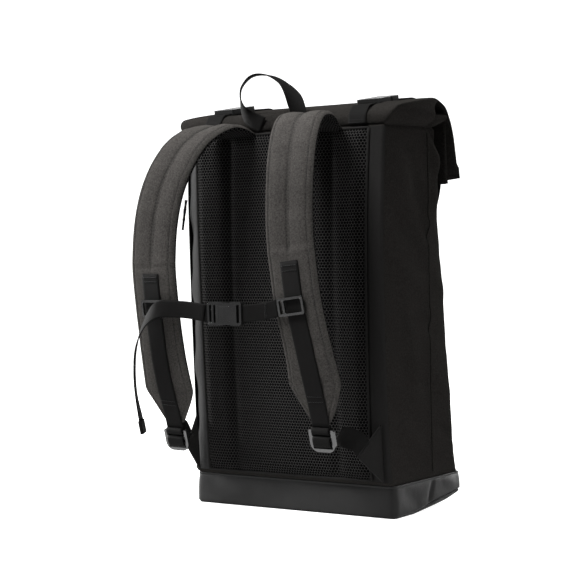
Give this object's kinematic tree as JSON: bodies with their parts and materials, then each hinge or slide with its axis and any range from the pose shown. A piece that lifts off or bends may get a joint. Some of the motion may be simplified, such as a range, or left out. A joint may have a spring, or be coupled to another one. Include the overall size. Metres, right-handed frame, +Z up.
{
  "type": "roll-top backpack",
  "caption": "Tall roll-top backpack in dark canvas with a coated base, padded straps, a mesh back and a chest strap.",
  "frame": {"origin": "centre of the flat bottom", "axes": "+Z up, -Y towards the wearer's back with the shoulder straps, +X to the wearer's right"},
  "size_m": [0.327, 0.3038, 0.532],
  "materials": {
    "canvas": "matte",
    "coated": "satin",
    "mesh": "matte",
    "padding": "matte",
    "webbing": "matte",
    "plastic": "gloss"
  },
  "bodies": {
    "root": {"base": "coated", "sack": "canvas", "roll_top": "canvas", "back_pad": "mesh", "edge_strip_left": "canvas", "edge_strip_right": "canvas", "anchor_tab_left": "canvas", "anchor_tab_right": "canvas", "shoulder_strap_left": "padding", "shoulder_strap_right": "padding", "strap_webbing_left": "webbing", "strap_webbing_right": "webbing", "ladder_lock_left": "plastic", "ladder_lock_right": "plastic", "lower_webbing_left": "webbing", "lower_webbing_right": "webbing", "haul_handle": "webbing", "sternum_slider_left": "plastic", "sternum_slider_right": "plastic", "sternum_webbing_left": "webbing", "sternum_webbing_right": "webbing", "sternum_tail": "webbing", "sternum_tail_tip": "webbing", "sternum_buckle_body": "plastic", "sternum_buckle_plug": "plastic", "closure_back_webbing_left": "webbing", "closure_back_webbing_right": "webbing", "closure_front_webbing_left": "webbing", "closure_front_webbing_right": "webbing", "closure_buckle_body_left": "plastic", "closure_buckle_body_right": "plastic", "closure_buckle_plug_left": "plastic", "closure_buckle_plug_right": "plastic", "side_zip": "webbing", "zip_pull": "webbing"}
  },
  "joints": []
}
